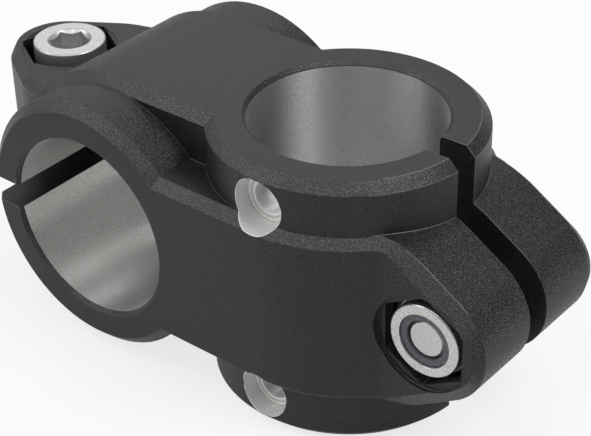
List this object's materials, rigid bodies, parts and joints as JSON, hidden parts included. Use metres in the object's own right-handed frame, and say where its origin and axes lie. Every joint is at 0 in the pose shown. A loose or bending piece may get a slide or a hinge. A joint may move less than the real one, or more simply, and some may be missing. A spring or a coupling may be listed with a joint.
{
  "type": "tube connector",
  "caption": "Cast cross connector that clamps two round tubes at right angles, each in a split ring closed by a socket head screw and a lock nut.",
  "frame": {"origin": "midway between the two bore axes, at mid length of both bores", "axes": "+Z along the upright bore, +Y along the lying bore, +X from the lying bore towards the upright bore"},
  "size_m": [0.1366, 0.06, 0.06],
  "materials": {
    "coated_casting": "fine-grained matt black-grey powder coat on an aluminium casting; the bores and the two stepped holes are bare machined aluminium",
    "zinc_steel": "bright zinc plating",
    "nylon_ring": "moulded grey-violet nylon"
  },
  "bodies": {
    "casting": {"connector_body": "coated_casting"},
    "upright_screw": {"upright_clamp_screw": "zinc_steel"},
    "upright_nut": {"upright_lock_nut": "zinc_steel", "upright_nut_insert": "nylon_ring"},
    "cross_screw": {"cross_clamp_screw": "zinc_steel"},
    "cross_nut": {"cross_lock_nut": "zinc_steel", "cross_nut_insert": "nylon_ring"}
  },
  "joints": [
    {"name": "upright_screw_turn", "type": "hinge", "parent": "casting", "child": "upright_screw", "pos_m": [0.05505, 0, 0], "axis": [0, 1, 0], "range_deg": [0, 1800]},
    {"name": "upright_nut_travel", "type": "slide", "parent": "casting", "child": "upright_nut", "axis": [0, -1, 0], "range_m": [0, 0.0075]},
    {"name": "cross_screw_turn", "type": "hinge", "parent": "casting", "child": "cross_screw", "pos_m": [-0.05505, 0, 0], "axis": [0, 0, 1], "range_deg": [0, 1800]},
    {"name": "cross_nut_travel", "type": "slide", "parent": "casting", "child": "cross_nut", "axis": [0, 0, -1], "range_m": [0, 0.0075]}
  ],
  "couplings": [
    {"joint": "upright_nut_travel", "follows": "upright_screw_turn", "m_per_rad": 0.00023873},
    {"joint": "cross_nut_travel", "follows": "cross_screw_turn", "m_per_rad": 0.00023873}
  ]
}
